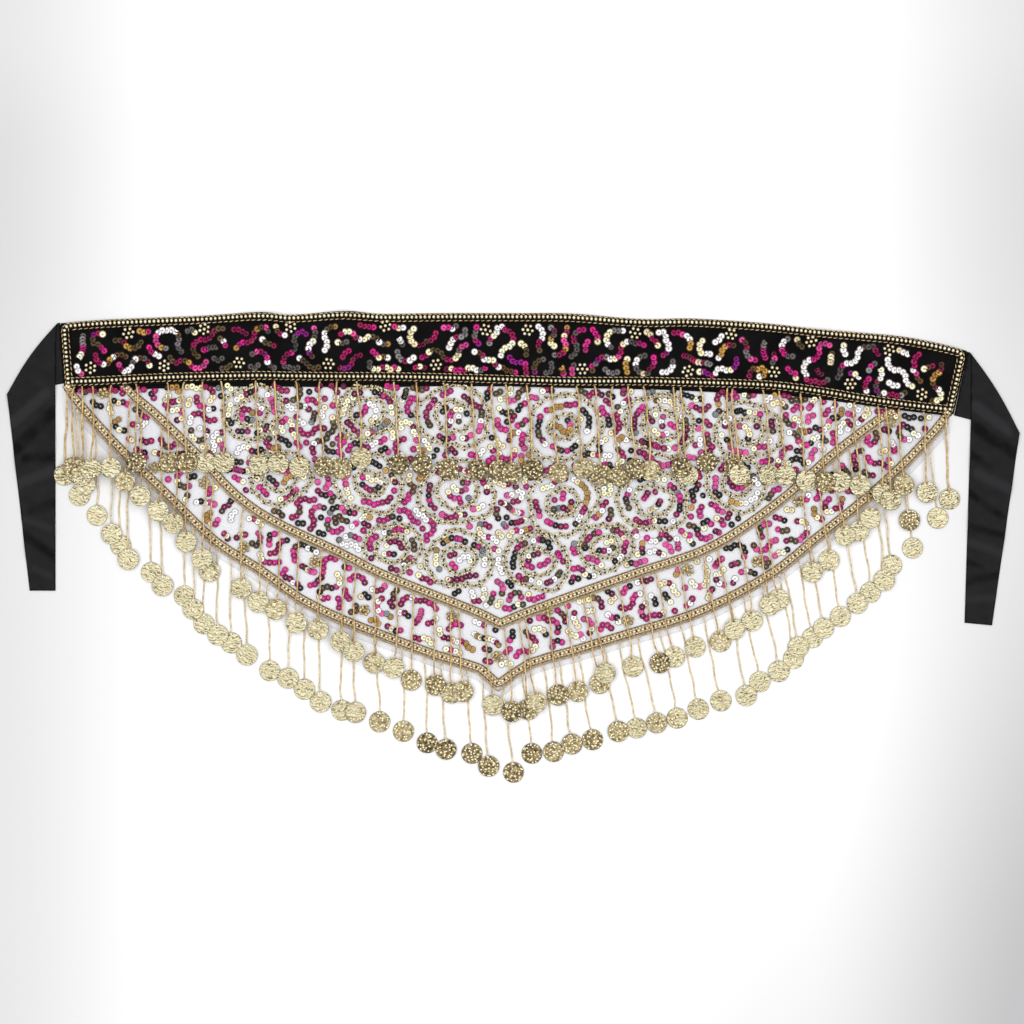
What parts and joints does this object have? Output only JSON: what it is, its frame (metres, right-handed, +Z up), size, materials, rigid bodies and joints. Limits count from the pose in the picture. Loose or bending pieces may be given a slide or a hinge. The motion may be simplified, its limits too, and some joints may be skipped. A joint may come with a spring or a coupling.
{
  "type": "belly dance hip scarf",
  "caption": "Hip scarf laid flat: black beaded waistband with folded satin ties, a V-shaped sheer net panel with bead edgings, and rows of bead strings that end in coins.",
  "frame": {"origin": "centre of the laid scarf's bounding box, on the surface that it lies on", "axes": "+X along the waistband toward the tie on the picture's right, +Y from the V hem toward the waist, +Z up, out of the scarf's outside"},
  "size_m": [0.9612, 0.4474, 0.0148],
  "materials": {
    "black_cloth": "matt black cloth",
    "white_net": "sheer white net",
    "black_satin": "black satin",
    "gold_trim": "gold beads between gold cords",
    "brass_coin": "hammered pale brass"
  },
  "bodies": {
    "root": {"waistband": "black_cloth", "hip_panel": "white_net", "tie_left": "black_satin", "tie_right": "black_satin", "waist_edging": "gold_trim", "seam_edging": "gold_trim", "border_edging": "gold_trim", "hem_edging": "gold_trim", "waist_fringe": "brass_coin", "border_fringe": "brass_coin", "hem_fringe": "brass_coin"}
  },
  "joints": []
}
